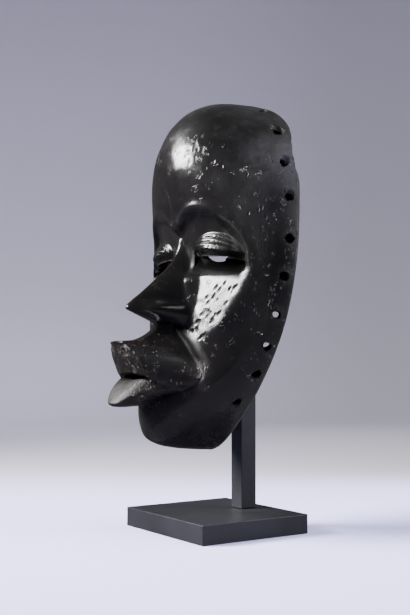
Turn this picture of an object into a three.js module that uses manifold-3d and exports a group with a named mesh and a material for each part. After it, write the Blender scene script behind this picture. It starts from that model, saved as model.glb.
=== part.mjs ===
// Dan mask on a museum stand. Millimetres, +Z up, the face looks along -Y.
// The origin is the middle of the base plate's underside.
import * as THREE from "three";
import { mergeVertices } from "three/addons/utils/BufferGeometryUtils.js";
import Module from "manifold-3d";

// Stand sizes
const BASE_WIDTH = 100;
const BASE_DEPTH = 88;
const BASE_HEIGHT = 13.5;
const BASE_BEVEL = 0.6;
const POST_SIDE = 13;
const POST_Y = 25;
const POST_BELOW_CROWN = 24.8;
const GAP = 0.3;

// Mask sizes. The mask has its own frame: x across, d forward, h up along the rim plane.
const MASK_HEIGHT = 252;
const MASK_WALL = 10;
const MASK_TILT = THREE.MathUtils.degToRad(7);
const CHIN_Y = -2.77;
const CHIN_Z = 56.67;
const GRID_ACROSS = 42;
const GRID_UP = 65;
const CAVITY_ACROSS = 14;
const CAVITY_UP = 32;

// Curves by angle round the rim, from chin (-90) to crown (90): rim half width, fullness,
// and the mid line's depth and height
const WIDTH = [[-90, 42], [-60, 53], [-40, 65], [-20, 74.5], [0, 78], [20, 80.5], [40, 87.5], [60, 96],
  [75, 96], [90, 90]];
const FULLNESS = [[-90, 1], [-30, 1], [10, 0.9], [35, 0.8], [60, 0.74], [90, 0.66]];
const SPINE_D = [[-98, -16], [-90, 0], [-82, 16], [-74, 32], [-66, 46], [-60, 54], [-54, 58.5], [-46, 59.5],
  [-38, 57], [-28, 51.5], [-18, 47], [-8, 44.5], [2, 43.5], [11, 43.5], [19, 45], [26, 49], [33, 53.5],
  [42, 58.8], [51, 62.3], [60, 61.9], [69, 56.2], [77, 43.6], [84, 24], [90, 0], [96, -24]];
const SPINE_H = [[-98, -0.6], [-90, 0], [-82, -0.8], [-74, -1], [-66, 0.5], [-60, 4], [-54, 11], [-46, 21],
  [-38, 33], [-28, 50], [-18, 68], [-8, 86], [2, 104], [11, 121], [19, 136], [26, 148], [33, 159], [42, 175],
  [51, 192], [60, 209], [69, 226], [77, 240], [84, 248.8], [90, 252], [96, 248.8]];

// The curves are drawn up to the mid line's highest knot, and scaled to the height the mask is made
const DRAWN_HEIGHT = Math.max(...SPINE_H.map(([, up]) => up));
const MASK_SCALE = MASK_HEIGHT / DRAWN_HEIGHT;

// Curves of the carving: nose by height, lips by height and by distance from the middle
const NOSE_RIDGE = [[70, 40], [78, 50], [82.6, 58.1], [84.9, 63.5], [87.2, 73.5], [89.2, 82.8], [91.5, 83.5],
  [95.8, 80.1], [104.3, 71.6], [114.4, 61.8], [123.1, 53.7], [129.9, 49.6], [138, 46.4], [145.6, 45.3],
  [150, 43], [158, 34]];
const NOSE_WIDTH = [[80, 16], [88, 17.5], [95, 17], [105, 15], [117, 12.5], [130, 9.5], [140, 7], [158, 4]];
const LIP_FRONT = [[40, 68], [44, 73.5], [51, 79], [59, 84], [64, 86.6], [66.9, 86.4], [67.8, 81], [69, 74.5],
  [70.6, 70], [73.5, 65], [77.3, 60.7], [82.6, 57], [90, 47]];
const LIP_FLAT = [[40, 22], [46, 21], [51, 19.5], [59, 16.5], [63, 12.5], [66.8, 8], [70, 6], [77, 4], [90, 3]];
const LIP_REACH = [[38, 37], [46, 37.5], [51, 36.6], [56, 33.8], [63, 28.3], [72, 20.5], [76.5, 14], [84, 9],
  [90, 6]];
const UPPER_EDGE = [[0, 46.6], [10, 46], [15, 45], [21.5, 42.2], [25.5, 40], [30.5, 42], [34, 45], [36.5, 49],
  [39, 54]];
const LOWER_LIP = [[0, 84.5], [7, 83.2], [13, 79], [18, 72], [22, 63.5], [26, 53], [29, 43], [34, 22], [46, -30]];
const FULLEST = [[0, 24.5], [5, 25], [9.5, 27.2], [14.5, 31.4], [20, 35.2], [24.5, 38.4], [28, 40.5], [36, 42]];
const BROW = [[0, 149.5], [3, 150.6], [8, 154.5], [14, 158.6], [21, 161], [29, 161.4], [38, 159.6],
  [46, 155.6], [53, 148.8], [58.5, 139.5], [61, 130], [62, 118]];
const CHEEK_EDGE = [[20, 12], [50, 24], [77, 36.5], [97, 46], [117, 55.5], [126, 58.5], [150, 62]];

// Lacing holes round the rim on both sides: across, forward, up, how far each runs back, and the
// height it is aimed at
const HOLE_RADIUS = 2.4;
const HOLES = [[33.4, 9.2, 241.2, 0, 126], [55.9, 10.4, 221.6, 0, 126], [67.4, 10.6, 197.9, 0, 126],
  [73.6, 8.2, 174.1, 0.1, 126], [77, 7.3, 144.8, 0.1, 126], [76.6, 8.8, 119, 0, 126],
  [72.4, 9.2, 93.3, 0.66, 108], [65.7, 9.6, 72.4, 0.66, 90], [56, 8.6, 53.3, 0.2, 126],
  [42.6, 12.8, 33.4, 0, 126]];

// How far each eye slit rises for every millimetre inwards
const SLIT_RISE = 0.28;

// The broken edge beside the crown, as up and forward
const CHIP = [[183.5, -2], [186, 0.4], [194, 2.1], [200, 3], [204, 3.9], [206.5, 3.7], [214, 2.5], [221, 1.6],
  [226, 0.4], [227.5, -2]];

// Holder: arms from the post to felt pads inside the hollow, placed by angle up the mid line
const ARM_RADIUS = 3;
const PAD_RADIUS = 8;
const PAD_THICK = 3;
const PAD_SAG = 2.3;
const CROWN_PAD_ANGLE = 80;
const MOUTH_PAD_ANGLE = -33;
const ARM_BELOW_POST_TOP = 8;

/** Smooth curve through knots, read at one place. */
function spline(knots, at) {
  const last = knots.length - 1;
  const p = Math.min(Math.max(at, knots[0][0]), knots[last][0]);
  let i = 0;
  while (i < last - 1 && p >= knots[i + 1][0]) i += 1;
  const slope = (k) => {
    if (k === 0) return (knots[1][1] - knots[0][1]) / (knots[1][0] - knots[0][0]);
    if (k === last) return (knots[last][1] - knots[last - 1][1]) / (knots[last][0] - knots[last - 1][0]);
    const before = knots[k][0] - knots[k - 1][0];
    const after = knots[k + 1][0] - knots[k][0];
    const fall = (knots[k][1] - knots[k - 1][1]) / before;
    const rise = (knots[k + 1][1] - knots[k][1]) / after;
    return (rise * before + fall * after) / (before + after);
  };
  const span = knots[i + 1][0] - knots[i][0];
  const t = (p - knots[i][0]) / span;
  const t2 = t * t;
  const t3 = t2 * t;
  return (2 * t3 - 3 * t2 + 1) * knots[i][1] + (t3 - 2 * t2 + t) * span * slope(i)
    + (3 * t2 - 2 * t3) * knots[i + 1][1] + (t3 - t2) * span * slope(i + 1);
}

/** Smooth step from 0 at a to 1 at b; a may be the larger. */
function step(a, b, at) {
  const t = Math.min(Math.max((at - a) / (b - a), 0), 1);
  return t * t * (3 - 2 * t);
}

/** Rounded larger and smaller of two surfaces; k is the width of the rounding. */
const smax = (a, b, k) => 0.5 * (a + b + Math.hypot(a - b, k));
const smin = (a, b, k) => 0.5 * (a + b - Math.hypot(a - b, k));
const bell = (at, middle, width) => Math.exp(-(((at - middle) / width) ** 2));

/** A place on the plain oval shell, wall mm inside its skin. */
function shell(phi, lambda, wall) {
  const angle = THREE.MathUtils.radToDeg(phi);
  const across = (spline(WIDTH, angle) - wall) * Math.cos(phi);
  const rim = (DRAWN_HEIGHT / 2) * (1 + Math.sin(phi)) - wall * Math.sin(phi);
  const depth = spline(SPINE_D, angle) - 1.15 * wall * Math.cos(phi);
  const rise = spline(SPINE_H, angle) - wall * Math.sin(phi);
  const full = Math.max(Math.cos(lambda), 0) ** spline(FULLNESS, angle);
  return [across * Math.sin(lambda), depth * full, rim + (rise - rim) * full];
}

/** Depth of the nose: a ridge rounded towards its tip, with wings either side and a level underside. */
function nose(x, h, face) {
  const soft = 0.9 + 2.4 * bell(h, 92, 9);
  const ax = Math.hypot(x, soft) - soft + 0.9;
  const top = spline(NOSE_RIDGE, h);
  let side = top - Math.max(top - face + 1, 0.5) * (ax / spline(NOSE_WIDTH, h)) ** 1.08;
  side += 6.5 * bell(ax, 11.5, 5) * bell(h, 90.5, 5.4);
  side -= 3 * bell(ax, 10, 5.5) * bell(h, 101.5 - 0.15 * ax, 2.8);
  const under = 58 + (h - 84.5 + 0.012 * ax ** 1.5) * 9;
  return h < 112 ? smin(side, under, 1.5) : side;
}

/** Depth of the upper lip: a flat beak, narrow above, with hollow sides. */
function upperLip(x, h, face) {
  const ax = Math.abs(x);
  const flat = spline(LIP_FLAT, h);
  const reach = spline(LIP_REACH, h);
  const round = (3.6 * flat) / 17;
  const edge = spline(LIP_FRONT, h) - round;
  const t = Math.min(Math.max((ax - flat) / (reach - flat), 0), 1);
  const side = edge - (edge - face + 0.5) * (1 - (1 - t) ** 1.6) - Math.max(ax - reach, 0) * 1.5;
  const depth = ax < flat ? edge + round * (1 - (ax / flat) ** 2) : side;
  return depth - Math.max(spline(UPPER_EDGE, ax) - h, 0) * 6;
}

/** Depth of the lower lip: a full roll that thins towards the corners. */
function lowerLip(x, h) {
  const ax = Math.abs(x);
  const widest = spline(FULLEST, ax);
  const edge = spline(LOWER_LIP, ax);
  const rise = Math.max(h - widest, 0);
  const top = edge + 1.5 - 0.3 * rise - 0.022 * rise * rise;
  const under = edge + 2 - (widest - 1.8 - h) * 12;
  const parting = spline(UPPER_EDGE, ax) - 4.6 * Math.max(1 - (ax / 20) ** 2, 0);
  return smin(top, under, 5) - Math.max(h - parting, 0) * 6;
}

/** The shell's depth with all the carving on it. */
function carve(x, shellDepth, h) {
  const ax = Math.abs(x);
  let d = shellDepth;

  // Brow: a raised line, then a step down into the socket
  const inside = (spline(BROW, ax) - h) * 0.9;
  const oval = Math.hypot(Math.max(ax - 24, 0) / 37.5, Math.max(h - 118, 0) / 43.5);
  const into = ax < 24 ? inside : (1 - oval) * 37;
  const wide = 4.6 + 5 * step(40, 58, ax);
  d += (1.1 * bell(into, -1.6, 3) - 3.6 * step(-0.6, wide, into)) * step(112, 124, h);

  // Cheek: a flat facet with a crisp outer edge, and a flatter side beyond it
  const onCheek = step(62, 82, h) * (1 - step(121, 128, h)) * step(12, 20, ax);
  const facet = 40.5 - 0.29 * (ax - 24) - 0.08 * (h - 117);
  d += (smin(d, facet, 0.6) - d) * onCheek;
  d += 4 * (1 - step(12, 25, ax)) * step(62, 82, h) * (1 - step(116, 128, h));
  const edge = spline(CHEEK_EDGE, h);
  const soft = 1.2 + 14 * (1 - step(52, 84, h));
  const turn = 40.9 - 0.29 * (edge - 24) - 0.08 * (h - 117) - 0.98 * (ax - edge) + 0.3 * soft;
  d += (smin(d, turn, soft) - d) * step(20, 92, h) * (1 - step(112, 150, h));

  // Eye: a hollow shelf below the slit and a full lid above it
  const slit = slitHeight(ax);
  const q = Math.min(Math.max((ax - 36.5) / 22.8, -1), 1);
  const arc = Math.sqrt(1 - q * q);
  const low = 117.3 + 5 * (1 - arc) ** 1.2;
  const ramp = Math.min(Math.max((h - low) / (slit + 1 - low), 0), 1);
  d -= 6.5 * Math.min(arc * 1.6, 1) * ramp * (1 - step(1, 6, h - slit));
  const v = Math.min(Math.max((h - slit) / (17 * Math.max(arc, 0.02)), 0), 1);
  const lid = 7.6 * arc ** 0.7 * (1 - v ** 1.6) + 2 * arc * (1 - v);
  d += h >= slit ? lid : lid * Math.max(1 - (slit - h) / 1, 0);

  // Mouth and nose stand on the face
  const face = d;
  if (ax < 48 && h > 10 && h < 90) {
    d = smax(face, smax(upperLip(x, h, face), lowerLip(x, h), 0.6), 1);
    d += 0.9 * bell(ax, spline(LIP_REACH, h) + 0.6, 1.4) * step(42, 50, h) * (1 - step(74, 80, h));
  }
  if (ax < 30 && h > 78 && h < 160) d = smax(d, nose(x, h, face), 1);
  return shellDepth + (d - shellDepth) * step(0, 5, shellDepth);
}

/** Rise of the wood under the lower lip, which hangs over it; it fades down the chin. */
function tuck(x, shellDepth, h) {
  const ax = Math.abs(x);
  const below = spline(FULLEST, ax) - 1.8 - h;
  const proud = Math.min(Math.max((spline(LOWER_LIP, ax) - shellDepth) / 30, 0), 1) * step(0, 5, shellDepth);
  return 7 * proud * step(0, 2.75, below) * (1 - step(2.75, 19, below));
}

/** Height of the line between the lid and the eye, by distance from the middle. */
function slitHeight(ax) {
  return 132.3 - (4.8 * (ax - 16)) / 42;
}

/** n + 1 places from -1 to 1, closer together where the density is high. */
function spread(n, density) {
  const fine = 800;
  const sum = [0];
  for (let i = 0; i < fine; i += 1) sum.push(sum[i] + density(-1 + (2 * (i + 0.5)) / fine));
  const places = [];
  for (let k = 0; k <= n; k += 1) {
    const target = (sum[fine] * k) / n;
    let i = 0;
    while (i < fine - 1 && sum[i + 1] < target) i += 1;
    places.push(-1 + (2 * (i + (target - sum[i]) / (sum[i + 1] - sum[i]))) / fine);
  }
  return places;
}

/** Mask frame to world. */
function toWorld(x, d, h) {
  const s = Math.sin(MASK_TILT) * MASK_SCALE;
  const c = Math.cos(MASK_TILT) * MASK_SCALE;
  return new THREE.Vector3(x * MASK_SCALE, CHIN_Y + h * s - d * c, CHIN_Z + h * c + d * s);
}

/** A closed solid over a square grid bent onto the half sphere, closed behind at depth back. */
function domeSolid(across, up, place, back) {
  const columns = across.length;
  const rows = up.length;
  const points = [];
  for (let j = 0; j < rows; j += 1) {
    for (let i = 0; i < columns; i += 1) {
      const u = across[i];
      const v = up[j];
      const a = u * Math.sqrt(1 - (v * v) / 2);
      const b = v * Math.sqrt(1 - (u * u) / 2);
      const r = Math.min(Math.hypot(a, b), 1);
      const onEdge = Math.abs(u) === 1 || Math.abs(v) === 1;
      const turn = r < 1e-9 ? Math.PI / 2 : Math.sin((r * Math.PI) / 2) / r;
      const depth = onEdge ? 0 : Math.cos((r * Math.PI) / 2);
      const phi = Math.asin(Math.min(Math.max(b * turn, -1), 1));
      const lambda = Math.atan2(a * turn, depth);
      points.push(place(phi, onEdge ? (Math.sign(a * turn) * Math.PI) / 2 : lambda));
    }
  }
  const faces = [];
  const at = (i, j) => j * columns + i;
  for (let j = 0; j + 1 < rows; j += 1) {
    for (let i = 0; i + 1 < columns; i += 1) {
      const quad = [at(i, j), at(i + 1, j), at(i + 1, j + 1), at(i, j + 1)];
      // the diagonal follows the shorter way across each cell
      const p = quad.map((k) => points[k]);
      const first = Math.hypot(p[0][0] - p[2][0], p[0][1] - p[2][1], p[0][2] - p[2][2]);
      const second = Math.hypot(p[1][0] - p[3][0], p[1][1] - p[3][1], p[1][2] - p[3][2]);
      if (first <= second) faces.push(quad[0], quad[1], quad[2], quad[0], quad[2], quad[3]);
      else faces.push(quad[0], quad[1], quad[3], quad[1], quad[2], quad[3]);
    }
  }
  const edge = [];
  for (let i = 0; i < columns - 1; i += 1) edge.push(at(i, 0));
  for (let j = 0; j < rows - 1; j += 1) edge.push(at(columns - 1, j));
  for (let i = columns - 1; i > 0; i -= 1) edge.push(at(i, rows - 1));
  for (let j = rows - 1; j > 0; j -= 1) edge.push(at(0, j));
  const ring = edge.map((k) => {
    if (back === 0) return k;
    points.push([points[k][0], back, points[k][2]]);
    return points.length - 1;
  });
  points.push([0, back, DRAWN_HEIGHT / 2]);
  const middle = points.length - 1;
  for (let k = 0; k < edge.length; k += 1) {
    const n = (k + 1) % edge.length;
    if (back !== 0) faces.push(edge[k], ring[k], edge[n], edge[n], ring[k], ring[n]);
    faces.push(ring[k], middle, ring[n]);
  }
  const geometry = new THREE.BufferGeometry();
  const flat = points.flatMap(([x, d, h]) => toWorld(x, d, h).toArray());
  geometry.setAttribute("position", new THREE.Float32BufferAttribute(flat, 3));
  geometry.setIndex(faces);
  return geometry;
}

/** A bar with flat sides between two places of the mask frame. */
function barInMask(from, to, radius, sides) {
  const a = toWorld(...from);
  const b = toWorld(...to);
  const geometry = new THREE.CylinderGeometry(radius, radius, a.distanceTo(b), sides);
  const turn = new THREE.Quaternion().setFromUnitVectors(new THREE.Vector3(0, 1, 0), b.clone().sub(a).normalize());
  geometry.applyQuaternion(turn);
  geometry.translate(...a.add(b).multiplyScalar(0.5).toArray());
  return geometry;
}

/** A prism from an outline, run along one axis of the mask frame. */
function prismInMask(outline, from, to, place) {
  const shape = new THREE.Shape(outline.map(([a, b]) => new THREE.Vector2(a, b)));
  const geometry = new THREE.ExtrudeGeometry(shape, { depth: to - from, bevelEnabled: false, steps: 1 });
  const position = geometry.attributes.position;
  for (let i = 0; i < position.count; i += 1) {
    const [x, d, h] = place(position.getX(i), position.getY(i), position.getZ(i) + from);
    const p = toWorld(x, d, h);
    position.setXYZ(i, p.x, p.y, p.z);
  }
  return geometry;
}

const wasm = await Module();
wasm.setup();

/** three.js geometry to manifold, turning it the right way out. */
function solid(source) {
  const bare = source.clone();
  bare.deleteAttribute("normal");
  bare.deleteAttribute("uv");
  const merged = mergeVertices(bare, 1e-5);
  const vertProperties = new Float32Array(merged.attributes.position.array);
  const triVerts = new Uint32Array(merged.index.array);
  let volume = 0;
  const corner = [new THREE.Vector3(), new THREE.Vector3(), new THREE.Vector3()];
  for (let i = 0; i < triVerts.length; i += 3) {
    corner.forEach((c, k) => c.fromArray(vertProperties, triVerts[i + k] * 3));
    volume += corner[0].dot(corner[1].clone().cross(corner[2]));
  }
  if (volume < 0) {
    for (let i = 0; i < triVerts.length; i += 3) {
      [triVerts[i], triVerts[i + 1]] = [triVerts[i + 1], triVerts[i]];
    }
  }
  return new wasm.Manifold(new wasm.Mesh({ numProp: 3, vertProperties, triVerts }));
}

/** manifold back to a three.js geometry. */
function toGeometry(body) {
  const mesh = body.getMesh();
  const geometry = new THREE.BufferGeometry();
  geometry.setAttribute("position", new THREE.BufferAttribute(new Float32Array(mesh.vertProperties), 3));
  geometry.setIndex(new THREE.BufferAttribute(new Uint32Array(mesh.triVerts), 1));
  const merged = mergeVertices(geometry, 1e-5);
  merged.computeVertexNormals();
  return merged;
}

/** The carved mask: shell less its hollow, the eye slits, the lacing holes and the chipped edge. */
function buildMask() {
  const across = spread(GRID_ACROSS, (u) => 0.6 + 1.4 * bell(u, 0, 0.45));
  const up = spread(GRID_UP, (v) => 0.5 + 1.8 * bell(v, -0.36, 0.26) + 1.5 * bell(v, 0.24, 0.15));
  const outer = domeSolid(across, up, (phi, lambda) => {
    const [x, d, h] = shell(phi, lambda, 0);
    return [x, carve(x, d, h), h + tuck(x, d, h)];
  }, 0);
  const even = () => 1;
  const hollow = domeSolid(spread(CAVITY_ACROSS, even), spread(CAVITY_UP, even),
    (phi, lambda) => shell(phi, lambda, MASK_WALL / MASK_SCALE), -3);
  let body = solid(outer).subtract(solid(hollow));

  for (const side of [-1, 1]) {
    const slit = [];
    for (let k = 0; k <= 6; k += 1) slit.push([19.5 + k * 4.25, slitHeight(19.5 + k * 4.25) - 0.5]);
    for (let k = 6; k > 0; k -= 1) {
      const x = 19.5 + k * 4.25;
      slit.push([x - 1, slitHeight(x) - 0.8 - 3.9 * Math.sin(Math.PI * (k / 7) ** 0.75) ** 0.8]);
    }
    const eye = prismInMask(slit, 12, 60, (x, h, d) => [side * x, d, h + SLIT_RISE * (41 - d)]);
    body = body.subtract(solid(eye));
    for (const [x, d, h, back, aim] of HOLES) {
      const inward = Math.max(1 - 16 / Math.hypot(x, h - aim), 0);
      const outward = 1 + 9 / Math.hypot(x, h - aim);
      const hole = barInMask([side * x * inward, d - 1 - 16 * back, aim + (h - aim) * inward],
        [side * x * outward, d + 0.8 + 9 * back, aim + (h - aim) * outward], HOLE_RADIUS, 6);
      body = body.subtract(solid(hole));
    }
  }

  // The near edge of the rim is broken away beside the crown
  const broken = prismInMask(CHIP, 36, 90, (h, d, x) => [x, d, h]);
  body = body.subtract(solid(broken));
  return toGeometry(body);
}

/** A box with its long edges lightly bevelled, standing from z = bottom to top. */
function bevelledBlock(width, depth, bottom, top, bevel, y) {
  const x = width / 2 - bevel;
  const b = depth / 2 - bevel;
  const shape = new THREE.Shape();
  shape.moveTo(-x, -b - bevel);
  shape.lineTo(x, -b - bevel);
  shape.lineTo(x + bevel, -b);
  shape.lineTo(x + bevel, b);
  shape.lineTo(x, b + bevel);
  shape.lineTo(-x, b + bevel);
  shape.lineTo(-x - bevel, b);
  shape.lineTo(-x - bevel, -b);
  shape.closePath();
  const geometry = new THREE.ExtrudeGeometry(shape, { depth: top - bottom, bevelEnabled: false });
  geometry.translate(0, y, bottom);
  return geometry;
}

/** A round bar or disc between two world places. */
function rod(from, to, radius, sides) {
  const a = new THREE.Vector3(...from);
  const b = new THREE.Vector3(...to);
  const geometry = new THREE.CylinderGeometry(radius, radius, a.distanceTo(b), sides);
  geometry.applyQuaternion(new THREE.Quaternion()
    .setFromUnitVectors(new THREE.Vector3(0, 1, 0), b.clone().sub(a).normalize()));
  geometry.translate(...a.add(b).multiplyScalar(0.5).toArray());
  return geometry;
}

/** Where a pad meets the hollow on the mid line: its middle and the way it faces. */
function padSeat(angle) {
  const wall = MASK_WALL / MASK_SCALE;
  const place = (degrees) => toWorld(...shell(THREE.MathUtils.degToRad(degrees), 0, wall));
  const along = place(angle + 1).sub(place(angle - 1)).normalize();
  const facing = new THREE.Vector3(1, 0, 0).cross(along).normalize();
  if (facing.y > 0) facing.negate();
  const sag = PAD_SAG;
  return { middle: place(angle).addScaledVector(facing, -(GAP + sag)), facing };
}

/** A pad and the arm that carries it; armZ null runs the arm level from the post. */
function holder(angle, armZ) {
  const { middle, facing } = padSeat(angle);
  const rear = middle.clone().addScaledVector(facing, -PAD_THICK);
  const pad = rod(rear.toArray(), middle.toArray(), PAD_RADIUS, 24);
  const head = rear.clone().addScaledVector(facing, -GAP - ARM_RADIUS * 0.5);
  const tip = rear.clone().addScaledVector(facing, -GAP - ARM_RADIUS);
  const foot = new THREE.Vector3(0, POST_Y - POST_SIDE / 2 - GAP, armZ === null ? tip.z : armZ);
  const lean = tip.clone().sub(foot).normalize();
  // the foot of a leaning arm stops short, so that its lower corner stays off the post
  foot.addScaledVector(lean, (ARM_RADIUS * Math.abs(lean.z)) / Math.abs(lean.y));
  const plate = rod(head.clone().addScaledVector(facing, -1.5).toArray(),
    head.clone().addScaledVector(facing, ARM_RADIUS * 0.5).toArray(), PAD_RADIUS - 1, 24);
  const arm = rod(foot.toArray(), tip.toArray(), ARM_RADIUS, 16);
  return { pad, arm: toGeometry(solid(arm).add(solid(plate))) };
}

const wood = new THREE.MeshStandardMaterial({ color: 0x1b1613, roughness: 0.35, metalness: 0 });
const paint = new THREE.MeshStandardMaterial({ color: 0x1f1f23, roughness: 0.45, metalness: 0.2 });
const felt = new THREE.MeshStandardMaterial({ color: 0x2b2a2c, roughness: 0.95, metalness: 0 });

const part = new THREE.Group();
part.name = "dan_mask_on_stand";

/** One named piece. */
function piece(name, geometry, material) {
  const mesh = new THREE.Mesh(geometry, material);
  mesh.name = name;
  part.add(mesh);
}

const postTop = toWorld(0, 0, DRAWN_HEIGHT).z - POST_BELOW_CROWN;
const crown = holder(CROWN_PAD_ANGLE, postTop - ARM_BELOW_POST_TOP);
const mouth = holder(MOUTH_PAD_ANGLE, null);
piece("mask", buildMask(), wood);
piece("base_plate", bevelledBlock(BASE_WIDTH, BASE_DEPTH, 0, BASE_HEIGHT, BASE_BEVEL, 0), paint);
piece("post", bevelledBlock(POST_SIDE, POST_SIDE, BASE_HEIGHT + GAP, postTop, 0.4, POST_Y), paint);
piece("crown_arm", crown.arm, paint);
piece("crown_pad", crown.pad, felt);
piece("mouth_arm", mouth.arm, paint);
piece("mouth_pad", mouth.pad, felt);

export default part;
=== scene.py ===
"""A carved wooden mask on a museum stand, dressed over its CAD model.

The mask has its own frame: x across, d forward out of the rim plane and h up along it, in
millimetres, leaning back by the tilt. Everything is built in the world frame in metres.
"""

import bpy
import numpy as np
from bpy.props import FloatProperty, FloatVectorProperty, IntProperty, PointerProperty
from mathutils import Matrix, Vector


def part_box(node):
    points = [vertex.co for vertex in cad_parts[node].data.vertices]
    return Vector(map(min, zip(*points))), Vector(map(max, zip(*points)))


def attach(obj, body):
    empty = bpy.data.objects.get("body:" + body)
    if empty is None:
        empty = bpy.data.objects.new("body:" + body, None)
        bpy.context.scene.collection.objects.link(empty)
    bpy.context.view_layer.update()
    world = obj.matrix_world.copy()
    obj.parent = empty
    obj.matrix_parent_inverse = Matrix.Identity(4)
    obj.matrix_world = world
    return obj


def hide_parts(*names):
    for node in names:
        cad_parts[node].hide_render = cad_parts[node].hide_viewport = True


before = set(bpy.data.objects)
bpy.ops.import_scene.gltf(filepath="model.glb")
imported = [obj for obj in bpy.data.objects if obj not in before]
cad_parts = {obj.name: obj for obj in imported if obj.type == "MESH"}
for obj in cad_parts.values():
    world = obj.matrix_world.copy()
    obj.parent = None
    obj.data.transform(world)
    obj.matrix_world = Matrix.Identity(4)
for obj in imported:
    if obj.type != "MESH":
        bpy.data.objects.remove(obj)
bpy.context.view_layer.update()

bl_info = {
    "name": "Carved mask on a stand",
    "version": (1, 0, 0),
    "blender": (4, 5, 0),
    "location": "View3D > Sidebar > Carved mask",
    "description": "Builds a carved wooden mask with its holder, post and base plate",
    "category": "Add Mesh",
}

MM = 0.001

# Height of the rim's middle in the mask's own frame
RIM_MIDDLE = 126.0

# The plain oval shell, by angle round the rim from chin (-90) to crown (90)
WIDTH = [(-90, 42), (-60, 53), (-40, 65), (-20, 74.5), (0, 78), (20, 80.5), (40, 87.5), (60, 96),
         (75, 96), (90, 90)]
FULLNESS = [(-90, 1), (-30, 1), (10, 0.9), (35, 0.8), (60, 0.74), (90, 0.66)]

# The shell's mid line: angle, depth and height
SPINE = [(-98, -16, -0.6), (-90, 0, 0), (-82, 16, -0.8), (-74, 32, -1), (-66, 46, 0.5), (-60, 54, 4),
         (-54, 58.5, 11), (-46, 59.5, 21), (-38, 57, 33), (-28, 51.5, 50), (-18, 47, 68),
         (-8, 44.5, 86), (2, 43.5, 104), (11, 43.5, 121), (19, 45, 136), (26, 49, 148), (33, 53.5, 159),
         (42, 58.8, 175), (51, 62.3, 192), (60, 61.9, 209), (69, 56.2, 226), (77, 43.6, 240),
         (84, 24, 248.8), (90, 0, 252), (96, -24, 248.8)]
SPINE_D, SPINE_H = ([(row[0], row[k]) for row in SPINE] for k in (1, 2))

# The carving: nose and lips by height, lips and brow by distance from the middle
NOSE_RIDGE = [(70, 40), (78, 50), (82.6, 58.1), (84.9, 63.5), (87.2, 73.5), (89.2, 82.8), (91.5, 83.5),
              (95.8, 80.1), (104.3, 71.6), (114.4, 61.8), (123.1, 53.7), (129.9, 49.6), (138, 46.4),
              (145.6, 45.3), (150, 43), (158, 34)]
NOSE_WIDTH = [(80, 16), (88, 17.5), (95, 17), (105, 15), (117, 12.5), (130, 9.5), (140, 7), (158, 4)]
LIP_FRONT = [(40, 68), (44, 73.5), (51, 79), (59, 84), (64, 86.6), (66.9, 86.4), (67.8, 81), (69, 74.5),
             (70.6, 70), (73.5, 65), (77.3, 60.7), (82.6, 57), (90, 47)]
LIP_FLAT = [(40, 22), (46, 21), (51, 19.5), (59, 16.5), (63, 12.5), (66.8, 8), (70, 6), (77, 4),
            (90, 3)]
LIP_REACH = [(38, 37), (46, 37.5), (51, 36.6), (56, 33.8), (63, 28.3), (72, 20.5), (76.5, 14), (84, 9),
             (90, 6)]
UPPER_EDGE = [(0, 46.6), (10, 46), (15, 45), (21.5, 42.2), (25.5, 40), (30.5, 42), (34, 45),
              (36.5, 49), (39, 54)]
LOWER_LIP = [(0, 84.5), (7, 83.2), (13, 79), (18, 72), (22, 63.5), (26, 53), (29, 43), (34, 22),
             (46, -30)]
FULLEST = [(0, 24.5), (5, 25), (9.5, 27.2), (14.5, 31.4), (20, 35.2), (24.5, 38.4), (28, 40.5),
           (36, 42)]
BROW = [(0, 149.5), (3, 150.6), (8, 154.5), (14, 158.6), (21, 161), (29, 161.4), (38, 159.6),
        (46, 155.6), (53, 148.8), (58.5, 139.5), (61, 130), (62, 118)]
CHEEK_EDGE = [(20, 12), (50, 24), (77, 39.5), (97, 51), (117, 59), (126, 60.5), (150, 62)]

# Each eye: its middle, its lid's half width and height, and how far its slit rises for every
# millimetre inwards
EYE_MIDDLE = 36.5
LID_REACH = 22.8
LID_HEIGHT = 17
SLIT_RISE = 0.28

# Lacing holes round the rim, on both sides: across, forward, up, how far each runs back for every
# millimetre inwards, and the height it is aimed at
HOLES = [(33.4, 9.2, 241.2, 0, 126), (55.9, 10.4, 221.6, 0, 126), (67.4, 10.6, 197.9, 0, 126),
         (73.6, 8.2, 174.1, 0.1, 126), (77, 7.3, 144.8, 0.1, 126), (76.6, 8.8, 119, 0, 126),
         (72.4, 9.2, 93.3, 0.66, 108), (65.7, 9.6, 72.4, 0.66, 90), (56, 8.6, 53.3, 0.2, 126),
         (42.6, 12.8, 33.4, 0, 126)]

# Holder in metres: clearance, how far a pad's rim stands off the curved wood, and the pad's thickness
GAP = 0.0003
PAD_SAG = 0.0023
PAD_THICK = 0.003

# Arm's radius and the width of its softened edge, then the plate on its end and the felt disc on
# that, as turned profiles of (along, radius)
ARM_RADIUS = 0.003
ARM_EDGE = 0.0005
PLATE = [(0, 0.0064), (0.0005, 0.007), (0.0025, 0.007), (0.003, 0.0064)]
PAD = [(0, 0.0072), (0.0004, 0.0078), (0.001, 0.008), (0.002, 0.008), (0.0026, 0.0078),
       (PAD_THICK, 0.0072)]

# Corners of a quad turned the other way round its same diagonal
FLIPPED = [0, 3, 2, 1]

# The hollow's map in cells of 1 mm, across and up, and the value kept outside the hollow
CELLS = (120, 270)
OUTSIDE = -9.0

# Colours of the painted shade in holes and shaded corners, of the painted shade at the paper's darkest
# part, and of the cool lights
PAINTED_SHADE_BLACK = (0.0015, 0.0013, 0.0012)
PAINTED_PAPER_SHADE = (0.02, 0.02, 0.03)
COOL = (0.95, 0.96, 1.0)

# What the lights face
TARGET = (0, -0.03, 0.17)

# The broken edge beside the crown, as up and forward
CHIP = [(183.5, -2), (186, 0.4), (194, 2.1), (200, 3), (204, 3.9), (206.5, 3.7), (214, 2.5), (221, 1.6),
        (226, 0.4), (227.5, -2)]


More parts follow.
